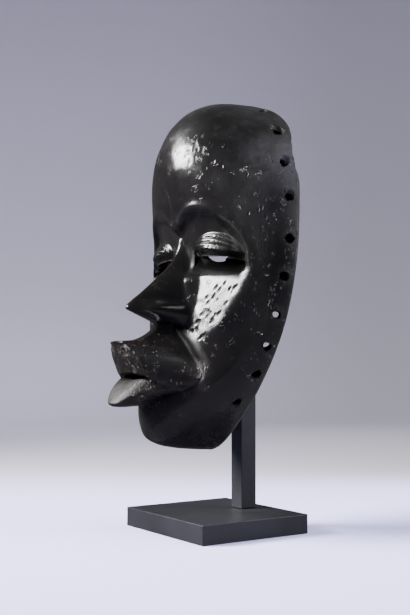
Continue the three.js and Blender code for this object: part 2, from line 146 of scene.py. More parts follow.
def length(name, description, default, **limits):
    """A property in metres."""
    return FloatProperty(name=name, description=description, default=default, subtype="DISTANCE",
                         unit="LENGTH", **limits)


def turn(name, description, degrees):
    """A property that is an angle."""
    return FloatProperty(name=name, description=description, default=np.radians(degrees),
                         subtype="ANGLE", unit="ROTATION")


def share(name, description, default):
    """A property from 0 to 1."""
    return FloatProperty(name=name, description=description, default=default, min=0, max=1,
                         subtype="FACTOR")


def colour(name, description, default):
    """A property that is a colour."""
    return FloatVectorProperty(name=name, description=description, default=default, size=3, min=0,
                               max=1, subtype="COLOR")


class MaskSizes(bpy.types.PropertyGroup):
    """Sizes of the carved mask."""

    wall: length("Wall", "Thickness of the wood behind the carving", 0.010, min=0.004)
    tilt: turn("Tilt", "How far the rim leans back", 7.0)
    chin_y: length("Chin Y", "Place of the chin's rim along Y", -0.00277)
    chin_z: length("Chin Z", "Height of the chin's rim", 0.05667)
    rib_depth: length("Lid ribs", "Depth of the grooves across each lid", 0.0011)
    hole_radius: length("Lacing holes", "Radius of the holes round the rim", 0.0024)
    rim_round: length("Rim rounding", "Radius worn on the rim's two edges", 0.0009)
    columns: IntProperty(name="Columns", description="Grid cells across the outer face", default=256,
                         min=40)
    rows: IntProperty(name="Rows", description="Grid cells up the outer face", default=280, min=40)


class WoodFinish(bpy.types.PropertyGroup):
    """Colours and polish of the carved wood."""

    dark: colour("Patina", "Colour of the blackened, polished wood", (0.0034, 0.0031, 0.0030))
    worn: colour("Worn edge", "Colour where handling has worn through", (0.030, 0.018, 0.011))
    # The dust colour also paints a highlight along the rim's edge
    dust: colour("Dust", "Colour of the dry dust in marks and on the crown", (0.050, 0.049, 0.051))
    fleck: colour("Fleck", "Colour of bare wood and dirt in small marks", (0.14, 0.125, 0.10))
    inside: colour("Inside", "Colour of the bare wood in the hollow", (0.030, 0.019, 0.012))
    polish: share("Polish", "Roughness of the handled front", 0.16)
    dry: share("Dry", "Roughness of the unhandled rim and hollow", 0.52)


class StandSizes(bpy.types.PropertyGroup):
    """Edges, paint and felt of the stand."""

    bevel: length("Edge", "Width of the softened edges", 0.0006)
    paint: colour("Paint", "Colour of the satin black paint", (0.011, 0.011, 0.013))
    felt: colour("Felt", "Colour of the pads", (0.020, 0.019, 0.021))
    sheen: share("Paint roughness", "Roughness of the paint", 0.34)


class StudioSizes(bpy.types.PropertyGroup):
    """Camera and paper backdrop."""

    azimuth: turn("Azimuth", "Camera's angle round the mask", 56.3)
    pitch: turn("Pitch", "How far the camera looks up", 2.89)
    distance: length("Distance", "Camera's distance along its azimuth", 0.722)
    side: length("Side step", "Camera's place across its azimuth", -0.0073)
    eye: length("Eye height", "Camera's height over the floor", 0.1219)
    lens: FloatProperty(name="Lens", description="Focal length", default=58.71,
                        subtype="DISTANCE_CAMERA")
    floor: colour("Floor", "Colour of the paper under the mask", (0.58, 0.56, 0.92))
    backdrop: colour("Backdrop", "Colour of the paper behind the mask", (0.90, 0.865, 1.0))
    # Painted shade: the paper's colour on the right, darker where less light falls
    shaded: colour("Shaded backdrop", "Colour of the paper to the right", (0.47, 0.455, 0.50))


def hermite(knots, at):
    """Smooth curve through knots, level past its ends: cubic pieces whose slope at each knot is the
    mean of the slopes beside it, each weighted by the other's gap."""
    place, value = np.array(knots, float).T
    rise = np.diff(value) / np.diff(place)
    gap = np.diff(place)
    inner = (rise[1:] * gap[:-1] + rise[:-1] * gap[1:]) / (gap[:-1] + gap[1:])
    slope = np.concatenate([rise[:1], inner, rise[-1:]])
    at = np.clip(at, place[0], place[-1])
    i = np.clip(np.searchsorted(place, at, side="right") - 1, 0, len(gap) - 1)
    t = (at - place[i]) / gap[i]
    return ((2 * t**3 - 3 * t**2 + 1) * value[i] + (t**3 - 2 * t**2 + t) * gap[i] * slope[i]
            + (3 * t**2 - 2 * t**3) * value[i + 1] + (t**3 - t**2) * gap[i] * slope[i + 1])


def step(low, high, at):
    """Smooth step: 0 before low, 1 after high, 3t squared less 2t cubed between."""
    t = np.clip((at - low) / (high - low), 0, 1)
    return t * t * (3 - 2 * t)


def larger(a, b, k):
    """Larger of two surfaces with the corner rounded over k."""
    return 0.5 * (a + b + np.hypot(a - b, k))


def smaller(a, b, k):
    """Smaller of two surfaces with the corner rounded over k."""
    return 0.5 * (a + b - np.hypot(a - b, k))


def bell(at, middle, width):
    """Bell curve of height 1."""
    return np.exp(-(((at - middle) / width) ** 2))


def waves(seed, points, size, count=14):
    """Smooth unevenness from -1 to 1: a sum of sine waves in seeded directions, about size long."""
    random = np.random.default_rng(seed)
    total = np.zeros(points.shape[:-1])
    for _ in range(count):
        way = random.normal(size=3)
        way *= 2 * np.pi / (size * random.uniform(0.7, 1.6) * np.linalg.norm(way))
        total += np.sin(points @ way + random.uniform(0, 2 * np.pi))
    return total / np.sqrt(count)


def shell(phi, lam, wall):
    """The plain oval shell. A line from rim to mid line at each angle phi: across goes with the sine
    of lam, and depth and height go from the rim's to the mid line's with the cosine of lam."""
    angle = np.degrees(phi)
    cosine, sine = np.cos(phi), np.sin(phi)
    across = (hermite(WIDTH, angle) - wall) * cosine
    rim = RIM_MIDDLE * (1 + sine) - wall * sine
    depth = hermite(SPINE_D, angle) - 1.15 * wall * cosine
    rise = hermite(SPINE_H, angle) - wall * sine
    full = np.maximum(np.cos(lam), 0) ** hermite(FULLNESS, angle)
    return across * np.sin(lam), depth * full, rim + (rise - rim) * full


def nose(x, h, face):
    """Depth of the nose: a ridge falling to the face on both sides, wings low down, a level underside.
    The ridge is rounded across, most at the tip."""
    soft = 0.9 + 3.4 * bell(h, 91.5, 8)
    ax = np.hypot(x, soft) - soft + 0.9
    top = hermite(NOSE_RIDGE, h)
    side = top - np.maximum(top - face + 1, 0.5) * (ax / hermite(NOSE_WIDTH, h)) ** 1.08
    side = side + 7.5 * bell(ax, 11.5, 5) * bell(h, 90.5, 5.4)
    side = side - 4.2 * bell(ax, 10, 5.5) * bell(h, 101 - 0.15 * ax, 2.5)
    under = 58 + (h - 84.5 + 0.012 * ax**1.5) * 9
    return np.where(h < 112, smaller(side, under, 1.5), side)


def upper_lip(x, h, face):
    """Depth of the upper lip: a flat beak, narrow above, whose sides fall in a hollow to the face."""
    ax = np.abs(x)
    flat, reach = hermite(LIP_FLAT, h), hermite(LIP_REACH, h)
    crown = 3.6 * flat / 17
    edge = hermite(LIP_FRONT, h) - crown
    t = np.clip((ax - flat) / (reach - flat), 0, 1)
    side = edge - (edge - face + 0.5) * (1 - (1 - t) ** 1.6) - np.maximum(ax - reach, 0) * 1.5
    depth = np.where(ax < flat, edge + crown * (1 - np.minimum(ax / flat, 1) ** 2), side)
    return depth - np.maximum(hermite(UPPER_EDGE, ax) - h, 0) * 6


def lower_lip(x, h):
    """Depth of the lower lip: a roll, fullest at the middle, sloping up and cut under."""
    ax = np.abs(x)
    widest, edge = hermite(FULLEST, ax), hermite(LOWER_LIP, ax)
    rise = np.maximum(h - widest, 0)
    top = edge + 1.5 - 0.3 * rise - 0.022 * rise**2
    under = edge + 2 - (widest - 1.8 - h) * 12
    parting = hermite(UPPER_EDGE, ax) - 4.6 * np.maximum(1 - (ax / 20) ** 2, 0)
    return smaller(top, under, 5) - np.maximum(h - parting, 0) * 6


def tuck(x, shell_depth, h):
    """Rise of the wood under the lower lip, which hangs over it: up to 7 mm where the lip ends, fading
    down the chin, and less where the lip stands less proud of the shell."""
    ax = np.abs(x)
    below = hermite(FULLEST, ax) - 1.8 - h
    proud = np.clip((hermite(LOWER_LIP, ax) - shell_depth) / 30, 0, 1) * step(0, 5, shell_depth)
    return 7 * proud * step(0, 2.75, below) * (1 - step(2.75, 19, below))


def slit_height(ax):
    """Height of the line between lid and eye, falling outwards."""
    return 132.3 - 4.8 * (ax - 16) / 42


def carve(x, shell_depth, h, rib):
    """The shell's depth with the carving: brow step, cheek facet, eye shelf and lid, mouth and nose."""
    ax = np.abs(x)
    d = shell_depth

    inside = (hermite(BROW, ax) - h) * 0.9
    oval = np.hypot(np.maximum(ax - 24, 0) / 37.5, np.maximum(h - 118, 0) / 43.5)
    into = np.where(ax < 24, inside, (1 - oval) * 37)
    wide = 4.6 + 5 * step(40, 58, ax)
    d = d + (1.1 * bell(into, -1.6, 3) - 3.6 * step(-0.6, wide, into)) * step(112, 124, h)

    on_cheek = step(62, 82, h) * (1 - step(121, 128, h)) * step(12, 20, ax)
    facet = 39.9 - 0.31 * (ax - 24) - 0.08 * (h - 117)
    d = d + (smaller(d, facet, 0.6) - d) * on_cheek
    d = d + 4 * (1 - step(12, 25, ax)) * step(74, 90, h) * (1 - step(116, 128, h))
    edge = hermite(CHEEK_EDGE, h)
    soft = 1.2 + 14 * (1 - step(52, 84, h))
    turn = 40.9 - 0.29 * (edge - 24) - 0.08 * (h - 117) - 0.98 * (ax - edge) + 0.3 * soft
    d = d + (smaller(d, turn, soft) - d) * step(20, 92, h) * (1 - step(112, 150, h))

    slit = slit_height(ax)
    q = np.clip((ax - EYE_MIDDLE) / LID_REACH, -1, 1)
    arc = np.sqrt(1 - q * q)
    low = 117.3 + 5 * (1 - arc) ** 1.2
    ramp = np.clip((h - low) / (slit + 1 - low), 0, 1)
    d = d - 6.5 * np.minimum(arc * 1.6, 1) * ramp * (1 - step(1, 6, h - slit))
    v = np.clip((h - slit) / (LID_HEIGHT * np.maximum(arc, 0.02)), 0, 1)
    lid = 7.6 * (0.3 * arc + 0.7 * arc**2) * (1 - v**1.6) + 2 * arc * (1 - v)
    ribs = rib * (np.abs(np.sin(np.pi * 4 * v**1.36)) ** 0.7 - 0.5) * np.minimum(2 * arc, 1)
    ribs = ribs * (1 - step(0.88, 1, v))
    d = d + np.where(h >= slit, lid + ribs, lid * np.maximum(1 - (slit - h), 0))

    face = d
    mouth = larger(face, larger(upper_lip(x, h, face), lower_lip(x, h), 0.6), 1)
    fold = 0.4 * bell(ax, hermite(LIP_REACH, h) + 0.6, 1.4) * step(42, 50, h) * (1 - step(74, 80, h))
    d = np.where((ax < 48) & (h > 10) & (h < 90), mouth + fold, d)
    d = np.where((ax < 30) & (h > 78) & (h < 160), larger(d, nose(x, h, face), 1), d)
    return shell_depth + (d - shell_depth) * step(0, 5, shell_depth)


def pits(x, h):
    """0 to 1 where small slanting pits are worn into both cheek facets, most near the outer edge, and
    into the forehead."""
    random = np.random.default_rng(17)
    total = np.zeros(np.shape(x))
    for side in (-1, 1):
        for number in range(40):
            up = random.uniform(74, 117)
            out = hermite(CHEEK_EDGE, up) - 3 - 21 * random.uniform(0, 1) ** 1.5
            if number >= 30:
                up, out = random.normal(203, 5.5), random.normal(20, 4.5)
            long, thin = random.uniform(0.9, 2.6), random.uniform(0.5, 0.85)
            lean = random.normal(0.9, 0.5)
            u = (side * x - out) * np.cos(lean) + (h - up) * np.sin(lean)
            v = (h - up) * np.cos(lean) - (side * x - out) * np.sin(lean)
            total = np.maximum(total, np.exp(-((u / long) ** 2 + (v / thin) ** 2) ** 2))
    return total


def spread(count, density):
    """count + 1 places from -1 to 1, closer together where the density is high."""
    fine = np.linspace(-1, 1, 4001)
    total = np.concatenate([[0], np.cumsum(density((fine[1:] + fine[:-1]) / 2))])
    return np.interp(np.linspace(0, total[-1], count + 1), total, fine)


def dome(across, up):
    """A square grid bent onto half a sphere: square to disc, then disc radius to polar angle."""
    u, v = np.meshgrid(across, up)
    a, b = u * np.sqrt(1 - v * v / 2), v * np.sqrt(1 - u * u / 2)
    r = np.minimum(np.hypot(a, b), 1)
    bend = np.sin(r * np.pi / 2) / np.maximum(r, 1e-9)
    bend = np.where(r < 1e-9, np.pi / 2, bend)
    rim = (np.abs(u) == 1) | (np.abs(v) == 1)
    depth = np.where(rim, 0, np.cos(r * np.pi / 2))
    phi = np.arcsin(np.clip(b * bend, -1, 1))
    return phi, np.where(rim, np.sign(a) * np.pi / 2, np.arctan2(a * bend, depth))


def grid_faces(rows, columns, start=0):
    """Quads of a grid of points, as rows of four indices."""
    at = start + np.arange(rows * columns).reshape(rows, columns)
    return np.stack([at[:-1, :-1], at[:-1, 1:], at[1:, 1:], at[1:, :-1]], -1).reshape(-1, 4)


def edge_ring(rows, columns):
    """The outer points of a grid in order round it."""
    at = np.arange(rows * columns).reshape(rows, columns)
    return np.concatenate([at[0, :-1], at[:-1, -1], at[-1, :0:-1], at[:0:-1, 0]])


def to_world(points, sizes):
    """Mask frame in millimetres to the world in metres: lean back by the tilt, move to the chin."""
    x, d, h = points[..., 0], points[..., 1], points[..., 2]
    s, c = np.sin(sizes.tilt), np.cos(sizes.tilt)
    y, z = sizes.chin_y + (h * s - d * c) * MM, sizes.chin_z + (h * c + d * s) * MM
    return np.stack([x * MM, y, z], -1)


def to_mask(points, sizes):
    """The world in metres to the mask frame in millimetres."""
    x, y, z = points[..., 0], points[..., 1] - sizes.chin_y, points[..., 2] - sizes.chin_z
    s, c = np.sin(sizes.tilt), np.cos(sizes.tilt)
    return np.stack([x, z * s - y * c, y * s + z * c], -1) / MM


def outward(points, faces):
    """Faces turned to point out, by the sign of the closed shape's volume."""
    volume = 0.0
    for face in faces:
        p = points[face]
        for k in range(1, face.shape[1] - 1):
            volume += np.einsum("ij,ij->", p[:, 0], np.cross(p[:, k], p[:, k + 1]))
    return [face[:, ::-1] for face in faces] if volume < 0 else faces


def mesh_object(name, points, faces):
    """A smooth mesh object at the origin from points in metres and arrays of faces."""
    mesh = bpy.data.meshes.new(name)
    mesh.from_pydata(points.tolist(), [], [f for block in faces for f in block.tolist()])
    mesh.validate()
    mesh.polygons.foreach_set("use_smooth", np.full(len(mesh.polygons), True))
    piece = bpy.data.objects.new(name, mesh)
    bpy.context.scene.collection.objects.link(piece)
    return piece


def read_vectors(mesh, kind):
    """The mesh's points (co) or normals (normal) as an array."""
    values = np.empty(len(mesh.vertices) * 3)
    mesh.vertices.foreach_get(kind, values)
    return values.reshape(-1, 3)


def baked(piece):
    """Applies the piece's modifiers to its mesh."""
    graph = bpy.context.evaluated_depsgraph_get()
    mesh = bpy.data.meshes.new_from_object(piece.evaluated_get(graph))
    old = piece.data
    piece.modifiers.clear()
    piece.data = mesh
    bpy.data.meshes.remove(old)


def combine(piece, tool, operation):
    """Joins the tool to the piece or cuts it out of it, and removes the tool."""
    change = piece.modifiers.new("combine", "BOOLEAN")
    change.operation, change.solver, change.object = operation, "MANIFOLD", tool
    baked(piece)
    bpy.data.objects.remove(tool)


def finish_mesh(piece, material, sharp):
    """Gives the piece its material, and smooth faces with edges sharp over an angle in degrees."""
    piece.data.polygons.foreach_set("use_smooth", np.full(len(piece.data.polygons), True))
    piece.data.set_sharp_from_angle(angle=np.radians(sharp))
    piece.data.materials.clear()
    piece.data.materials.append(material)


def ring_faces(at):
    """Quads between closed rings of points: one ring of indices a row."""
    after = np.roll(at, -1, 1)
    return np.stack([at[:-1], after[:-1], after[1:], at[1:]], -1).reshape(-1, 4)


def turned(profile, foot, way, sides=48):
    """A turned solid: (along, radius) pairs carried round the axis from foot along way."""
    profile = np.asarray(profile, float)
    way = np.asarray(way, float) / np.linalg.norm(way)
    flat = np.cross(way, [1.0, 0, 0] if abs(way[0]) < 0.9 else [0, 0, 1.0])
    flat /= np.linalg.norm(flat)
    high = np.cross(way, flat)
    around = np.linspace(0, 2 * np.pi, sides, endpoint=False)
    ring = np.cos(around)[:, None] * flat + np.sin(around)[:, None] * high
    points = np.asarray(foot) + profile[:, :1, None] * way + profile[:, 1:, None] * ring[None]
    at = np.arange(len(profile) * sides).reshape(len(profile), sides)
    return points.reshape(-1, 3), [ring_faces(at), at[:1, ::-1], at[-1:]]


def joined(parts):
    """Several closed shapes as one set of points and faces, each turned outwards."""
    points, faces, start = [], [], 0
    for shape, blocks in parts:
        faces += [block + start for block in outward(shape, blocks)]
        points.append(shape)
        start += len(shape)
    return np.concatenate(points), faces


class Field:
    """A shader socket that can be used in sums: every operator adds its Math node."""

    def __init__(self, finish, socket):
        self.finish = finish
        self.socket = socket

    def math(self, operation, *others, clamp=False):
        values = {i: value for i, value in enumerate((self, *others))}
        return self.finish.add("ShaderNodeMath", {"operation": operation, "use_clamp": clamp}, values)

    def __add__(self, other):
        return self.math("ADD", other)

    def __sub__(self, other):
        return self.math("SUBTRACT", other)

    def __rsub__(self, other):
        return self.finish.add("ShaderNodeMath", {"operation": "SUBTRACT"}, {0: other, 1: self})

    def __mul__(self, other):
        return self.math("MULTIPLY", other)

    def __abs__(self):
        return self.math("ABSOLUTE")

    __radd__ = __add__
    __rmul__ = __mul__


class Finish:
    """One material and its nodes."""

    def __init__(self, name):
        self.material = bpy.data.materials.new(name)
        self.material.use_nodes = True
        self.tree = self.material.node_tree
        self.tree.nodes.clear()
        self.place = self.add("ShaderNodeTexCoord", {}, {}, output="Object")

    def add(self, kind, settings, values, output=0):
        """One node: its settings first, then each socket's value or link; gives one output."""
        node = self.tree.nodes.new(kind)
        for name, value in settings.items():
            setattr(node, name, value)
        for name, value in values.items():
            if isinstance(value, Field):
                self.tree.links.new(value.socket, node.inputs[name])
            else:
                node.inputs[name].default_value = value
        return Field(self, node.outputs[output]) if node.outputs else None

    def attribute(self, name):
        """A number kept on the piece's points."""
        return self.add("ShaderNodeAttribute", {"attribute_name": name}, {}, output="Fac")

    def stretched(self, scale, twist=(0, 0, 0)):
        """The place on the object, scaled along each axis after a turn."""
        values = {"Vector": self.place, "Scale": scale, "Rotation": twist}
        return self.add("ShaderNodeMapping", {}, values)

    def noise(self, scale, detail=3.0, rough=0.55, distort=0.0, place=None):
        """Cloudy noise about 0.5."""
        values = {"Vector": place or self.place, "Scale": scale, "Detail": detail, "Roughness": rough,
                  "Distortion": distort}
        return self.add("ShaderNodeTexNoise", {}, values)

    def cells(self, scale, feature="F1", place=None, output="Distance"):
        """Distance to scattered points, or each point's own random colour."""
        values = {"Vector": place or self.place, "Scale": scale}
        return self.add("ShaderNodeTexVoronoi", {"feature": feature}, values, output)

    def spots(self, scale, low, high, part, place=None):
        """Scattered spots, in that part of the cells: 1 in the middle, gone from low to high."""
        kept = self.cells(scale, place=place, output="Color").math("LESS_THAN", part)
        return (1 - self.ease(self.cells(scale, place=place), low, high)) * kept

    def ease(self, value, low, high):
        """Smooth step of a value from low to high."""
        smooth = {"interpolation_type": "SMOOTHSTEP"}
        values = {"Value": value, "From Min": low, "From Max": high}
        return self.add("ShaderNodeMapRange", smooth, values, output="Result")

    def blend(self, factor, first, second):
        """One colour to another by a factor."""
        colours = {6: first if isinstance(first, Field) else (*first, 1)}
        colours[7] = second if isinstance(second, Field) else (*second, 1)
        return self.add("ShaderNodeMix", {"data_type": "RGBA"}, {0: factor, **colours}, output=2)

    def bump(self, height, distance, normal=None):
        """Relief in metres from a height of 0 to 1."""
        values = {"Height": height, "Distance": distance}
        if normal is not None:
            values["Normal"] = normal
        return self.add("ShaderNodeBump", {}, values)

    def surface(self, **values):
        """The Principled shader and the output."""
        named = {name.replace("_", " "): value for name, value in values.items()}
        shader = self.add("ShaderNodeBsdfPrincipled", {}, named)
        self.add("ShaderNodeOutputMaterial", {}, {"Surface": shader})
        return self.material


def wood_finish(look):
    """Blackened wood polished by handling: worn brown edges, dust in marks, pits and fine scratches;
    painted shade turns holes, slits and shaded corners black, and a painted highlight lines the rim.
    """
    f = Finish("polished_dark_wood")
    names = ("handled", "worn", "dust_and_rim_highlight", "pitted", "hollow", "shade_in_openings", "pit", "coarse", "shade")
    gloss, worn, dust_and_rim_highlight, pitted, hollow, shade_in_openings, pit, coarse, shade = map(f.attribute, names)

    # Curled chips and nicks: thin bands of one noise, kept where a second one is high
    curl = f.noise(230, 2.0, 0.5, 0.8)
    band = 1 - f.ease(abs(curl - 0.5), 0.010, 0.034)
    patch = f.ease(f.noise(120, 1.0, 0.5), 0.62, 0.66)
    nicks = band * patch * (pitted * 1.4).math("MINIMUM", 1.0)

    # Pits: small and long hollows, in groups
    near = f.ease(f.noise(45, 2.0, 0.5), 0.44, 0.56)
    slant = f.stretched((1.0, 0.62, 0.36), (0.55, 0.25, 0.0))
    specks = f.spots(430, 0.18, 0.36, 0.45, slant) * near * (pitted * 1.5).math("MINIMUM", 1.0)
    dots = f.spots(800, 0.16, 0.34, 0.5) * f.ease(f.noise(70, 2.0, 0.5), 0.5, 0.62)
    crumb = f.noise(900, 3.0, 0.65)
    flecks = f.spots(900, 0.25, 0.45, 0.30, slant) * f.ease(f.noise(110, 2.0, 0.5), 0.48, 0.62) * coarse

    # Hair scratches: noise drawn out along two directions
    lines = f.noise(60, 2.0, 0.5, place=f.stretched((16.0, 16.0, 0.8), (0.3, 0.2, 0.4)))
    cross = f.noise(60, 2.0, 0.5, place=f.stretched((1.0, 14.0, 14.0), (0.2, 0.5, 0.1)))
    scratches = f.ease(lines, 0.64, 0.72) * 0.6 + f.ease(cross, 0.66, 0.74) * 0.6

    # Grain and tool marks
    grain = f.noise(120, 4.0, 0.6, place=f.stretched((3.0, 3.0, 0.35)))
    dents = f.noise(55, 2.0, 0.5)
    gouge = f.cells(70, "SMOOTH_F1", place=f.stretched((1.0, 1.0, 0.55)))

    marks = (nicks + specks * 0.6).math("MINIMUM", 1.0)
    tone = f.blend(f.ease(f.noise(24, 3.0, 0.6), 0.35, 0.7), look.dark, [v * 1.7 for v in look.dark])
    tone = f.blend(worn * f.ease(f.noise(210, 4.0, 0.65), 0.38, 0.62), tone, look.worn)
    tone = f.blend((dust_and_rim_highlight * f.ease(f.noise(34, 4.0, 0.6), 0.30, 0.75) * 0.75), tone, look.dust)
    tone = f.blend(nicks * 0.6, tone, look.fleck)
    tone = f.blend(flecks * 0.85, tone, look.fleck)
    tone = f.blend(specks + pit, tone, [v * 0.5 for v in look.dark])
    bare = f.blend(f.ease(grain, 0.35, 0.7), look.inside, [v * 0.45 for v in look.inside])
    tone = f.blend(hollow, tone, bare)
    # Painted shade: holes, slits and the shaded places turn black and lose their gloss
    shade = shade * 0.92 * (1 - hollow)
    black = shade.math("MAXIMUM", shade_in_openings)
    tone = f.blend(black, tone, PAINTED_SHADE_BLACK)

    rough = look.dry + (look.polish - look.dry) * gloss
    rough = rough + (f.noise(28, 3.0, 0.6) - 0.5) * 0.12 + marks * 0.25 + dust_and_rim_highlight * 0.12 + coarse * 0.10
    rough = rough + (f.noise(240, 2.0, 0.5) - 0.5) * 0.10 + worn * 0.08 + shade_in_openings * 0.9 + pit * 0.4
    rough = rough + hollow * 0.30 + shade * 0.5

    relief = f.bump(dents * (1 - hollow), 0.0003)
    relief = f.bump(gouge * hollow, 0.0028, relief)
    relief = f.bump(grain, 0.00006, relief)
    relief = f.bump(scratches * (1 - hollow) * (1 - gloss * 0.8) + dots * 0.8, -0.00006, relief)
    relief = f.bump(crumb * coarse, 0.0007, relief)
    relief = f.bump(marks, -0.0004, relief)
    return f.surface(Base_Color=tone, Roughness=rough.math("MAXIMUM", 0.12, clamp=True), Normal=relief,
                     Metallic=black, Specular_IOR_Level=0.25)


def paint_finish(stand):
    """Satin black paint on steel: even, with a faint orange peel and a little dust."""
    f = Finish("satin_black_paint")
    cloud = f.noise(30, 3.0, 0.6)
    speck = f.ease(f.noise(900, 2.0, 0.5), 0.70, 0.78)
    tone = f.blend(f.ease(cloud, 0.35, 0.7), stand.paint, [v * 1.35 for v in stand.paint])
    tone = f.blend(speck * 0.25, tone, (0.12, 0.12, 0.13))
    rough = stand.sheen + (cloud - 0.5) * 0.10 + speck * 0.15
    relief = f.bump(f.noise(1300, 2.0, 0.5), 0.00002)
    return f.surface(Base_Color=tone, Roughness=rough, Normal=relief, Specular_IOR_Level=0.3)


def felt_finish(stand):
    """Black felt: short matted fibres with a soft edge sheen."""
    f = Finish("black_felt")
    mat = f.noise(1500, 4.0, 0.7, 0.8)
    tone = f.blend(f.ease(mat, 0.3, 0.7), stand.felt, [v * 2.2 for v in stand.felt])
    return f.surface(Base_Color=tone, Roughness=0.95, Normal=f.bump(mat, 0.00025), Sheen_Weight=0.5)


def floor_finish(studio):
    """Seamless paper with painted shade: pale under the mask, darker behind it and up the backdrop,
    most on the right.
    """
    f = Finish("pale_paper")
    cosine, sine = np.cos(studio.azimuth), np.sin(studio.azimuth)
    across, behind = (
        f.add("ShaderNodeVectorMath", {"operation": "DOT_PRODUCT"}, {0: f.place, 1: way}, "Value")
        for way in ((cosine, sine, 0.0), (-sine, cosine, 0.0)))
    up = f.add("ShaderNodeSeparateXYZ", {}, {0: f.place}, output="Z")
    # Painted shade: the paper darkens to the right, up the backdrop and far behind, where less light
    # falls
    side = f.ease(across, -0.45, 0.45)
    wall = f.blend(side, studio.backdrop, studio.shaded)
    wall = f.blend(f.ease(up, 0.0, 0.35) * (0.20 - side * 0.14), wall, PAINTED_PAPER_SHADE)
    wall = f.blend(f.ease(up, -0.1, 1.2) * (0.45 - side * 0.20), wall, PAINTED_PAPER_SHADE)
    edge = f.ease(behind, 0.10, 0.44) * (1 - side) + f.ease(behind, 0.19, 0.37) * side
    far = f.ease(behind, 0.42, 1.10).math("MAXIMUM", f.ease(up, 0.02, 0.3))
    dim = f.blend((1 - far) * (0.40 + side * 0.04), wall, PAINTED_PAPER_SHADE)
    tone = f.blend(edge.math("MAXIMUM", far), studio.floor, dim)
    return f.surface(Base_Color=tone, Roughness=0.8, Normal=f.bump(f.noise(500, 2.0, 0.5), 0.00003))


def rim_rounding(points, radius):
    """Shift towards the mask's middle, across and up only, that rounds a skin's edge at the rim: the
    radius less the root of its square less the square of how much depth is missing from it."""
    way = np.array([0, 0, RIM_MIDDLE]) - points
    way[..., 1] = 0
    way /= np.maximum(np.linalg.norm(way, axis=-1, keepdims=True), 1e-9)
    missing = np.maximum(radius - points[..., 1], 0)
    return way * (radius - np.sqrt(np.maximum(radius**2 - missing**2, 0)))[..., None]


def mask_body(sizes):
    """The mask as one closed surface: carved face, rounded rim and gouged hollow.

    The face and the hollow are grids bent onto half a sphere. The hollow's has half as many cells each
    way, so the rim is closed by rows of quads and one row that takes two face cells to one of its own.
    """
    worn = sizes.rim_round / MM
    across = spread(sizes.columns, lambda u: 0.62 + 1.1 * bell(u, 0, 0.5))
    up = spread(sizes.rows, lambda v: 0.62 + 1.2 * bell(v, -0.36, 0.27) + bell(v, 0.22, 0.17))
    x, d, h = shell(*dome(across, up), 0)
    outer = np.stack([x, carve(x, d, h, sizes.rib_depth / MM), h + tuck(x, d, h)], -1)
    uneven = waves(3, outer, 26) * 0.18 + waves(4, outer, 9) * 0.05
    sunk = pits(x, outer[..., 2]) * (0.7 - 0.35 * step(140, 160, h))
    outer[..., 1] += uneven * step(2, 10, d) - sunk
    outer += rim_rounding(outer, worn)

    across, up = (np.linspace(-1, 1, cells // 2 + 1) for cells in (sizes.columns, sizes.rows))
    inner = np.stack(shell(*dome(across, up), sizes.wall / MM), -1)
    gouges = waves(9, inner * [1, 1, 0.6], 15) * 0.35 + waves(10, inner, 40) * 0.35
    inner[..., 1] += gouges * step(1, 9, inner[..., 1])
    inner -= rim_rounding(inner, worn)

    grid, grid_in = outer.shape[:2], inner.shape[:2]
    outer, inner = outer.reshape(-1, 3), inner.reshape(-1, 3)
    ring, ring_in = edge_ring(*grid), edge_ring(*grid_in)
    from_rim, to_rim = outer[ring], inner[ring_in]
    to_rim = np.stack([to_rim, (to_rim + np.roll(to_rim, -1, 0)) / 2], 1).reshape(-1, 3)
    shares = np.array([0.15, 0.4, 0.7])
    bands = from_rim + (to_rim - from_rim) * shares[:, None, None]
    bands[..., 1] += waves(12, bands, 14) * 0.22 * np.sin(np.pi * shares)[:, None]

    start, start_in = len(outer), len(outer) + bands.shape[0] * bands.shape[1]
    chain = np.concatenate([ring[None], np.arange(start, start_in).reshape(bands.shape[:2])])
    strip = ring_faces(chain)[:, FLIPPED]
    even, odd, seat = chain[-1, 0::2], chain[-1, 1::2], ring_in + start_in
    after, seat_after = np.roll(even, -1), np.roll(seat, -1)
    fans = np.concatenate([np.stack([even, seat, odd], -1), np.stack([odd, seat, seat_after], -1),
                           np.stack([odd, seat_after, after], -1)])
    hollow = grid_faces(*grid_in, start_in)[:, ::-1]
    points = to_world(np.concatenate([outer, bands.reshape(-1, 3), inner]), sizes)
    return mesh_object("carved_mask", points, outward(points, [grid_faces(*grid), strip, fans, hollow]))


def bore(hole, side):
    """A lacing hole's mouth, and its axis out of the mask: away from where it is aimed, and forward."""
    x, d, h, back, aim = hole
    out = np.array([x * side, 0, h - aim])
    out /= np.linalg.norm(out)
    out[1] = back
    return np.array([x * side, d, h]), out


def eye_cutter(side):
    """Eye slit: a lens 27 mm long and 4.3 mm high under the lid's edge, carried from behind to before
    the wall; its height is as drawn 41 mm forward."""
    t = np.linspace(0, 1, 25)
    x = 18.8 + 27 * t
    top = slit_height(x) - 0.4
    low = top - 0.4 - 4.3 * np.sin(np.pi * t**0.75) ** 0.8
    across, up = side * np.concatenate([x, x[::-1]]), np.concatenate([top, low[::-1]])
    depth = np.array([[12.0], [60.0]])
    ring = np.stack(np.broadcast_arrays(across, depth, up + SLIT_RISE * (41 - depth)), -1)
    at = np.arange(2 * len(up)).reshape(2, -1)
    upper, lower = at[:, :len(t)], at[:, :len(t) - 1:-1]
    ends = np.stack([upper[:, :-1], upper[:, 1:], lower[:, 1:], lower[:, :-1]], -1)
    return ring.reshape(-1, 3), [ring_faces(at), np.concatenate([ends[0, :, ::-1], ends[1]])]


def hole_cutter(hole, side, radius):
    """Lacing hole: bored along its axis, a little wider and uneven at the mouth."""
    mouth, out = bore(hole, side)
    along = np.array([-18, -4, -1.5, 0.3, 1.5, 9.0]) * np.linalg.norm(out)
    wide = radius * np.array([0.95, 0.95, 1.05, 1.35, 1.7, 2.6])
    points, faces = turned(np.stack([along, wide], -1), mouth, out, 12)
    return points + waves(int(hole[0] * 3 + hole[1] + side * 7), points, 4)[:, None] * 0.3, faces


